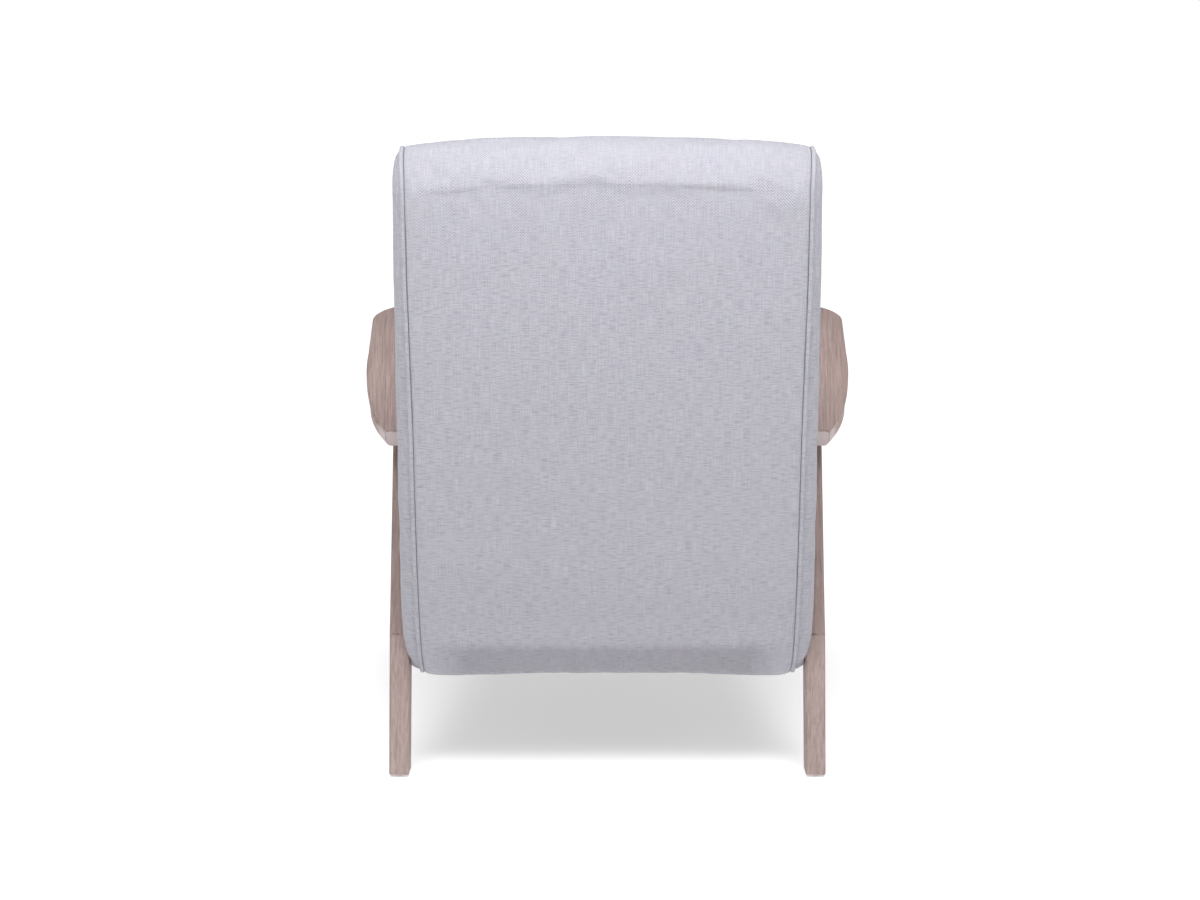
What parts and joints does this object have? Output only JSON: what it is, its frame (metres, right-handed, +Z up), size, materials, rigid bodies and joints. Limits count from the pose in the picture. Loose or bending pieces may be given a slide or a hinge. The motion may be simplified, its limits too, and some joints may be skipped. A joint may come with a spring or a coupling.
{
  "type": "wooden armchair",
  "caption": "Low armchair with a fabric-covered seat and tall rolled back held between two raked wooden side frames with wide sloping arms.",
  "frame": {"origin": "on the floor at the middle of the chair's width and depth", "axes": "+Z up, the sitter faces -Y, +X is the sitter's left"},
  "size_m": [0.744, 0.7544, 0.8633],
  "materials": {
    "ash": "limed ash, matt",
    "beech": "bare beech",
    "frame_timber": "sawn hardwood",
    "board": "fibreboard",
    "steel": "zinc plated",
    "glide": "moulded plastic",
    "webbing": "elastic webbing",
    "dust_cloth": "thin black cloth",
    "piping": "corded self piping",
    "upholstery": "light grey herringbone wool"
  },
  "bodies": {
    "root": {"arm_dowels": "beech", "arm_left": "ash", "arm_right": "ash", "back_lumbar_rail": "frame_timber", "back_piping_left": "piping", "back_piping_right": "piping", "back_post_left": "frame_timber", "back_post_right": "frame_timber", "back_roll": "upholstery", "back_side_board_left": "board", "back_side_board_right": "board", "back_side_panel_left": "upholstery", "back_side_panel_right": "upholstery", "back_top_rail": "frame_timber", "back_webbing": "webbing", "bolt_washers": "steel", "corner_blocks": "frame_timber", "dust_cover": "dust_cloth", "foot_glides": "glide", "frame_bolts": "steel", "front_leg_left": "ash", "front_leg_right": "ash", "inner_back_pad": "upholstery", "outer_back_panel": "upholstery", "rail_dowels": "beech", "rear_leg_left": "ash", "rear_leg_right": "ash", "seat_front_panel": "upholstery", "seat_front_rail": "frame_timber", "seat_pad": "upholstery", "seat_piping_left": "piping", "seat_piping_right": "piping", "seat_rear_rail": "frame_timber", "seat_side_board_left": "board", "seat_side_board_right": "board", "seat_side_panel_left": "upholstery", "seat_side_panel_right": "upholstery", "seat_side_rail_left": "frame_timber", "seat_side_rail_right": "frame_timber", "seat_springs": "steel", "side_rail_left": "ash", "side_rail_right": "ash", "spring_clips": "steel", "threaded_inserts": "steel"}
  },
  "joints": []
}
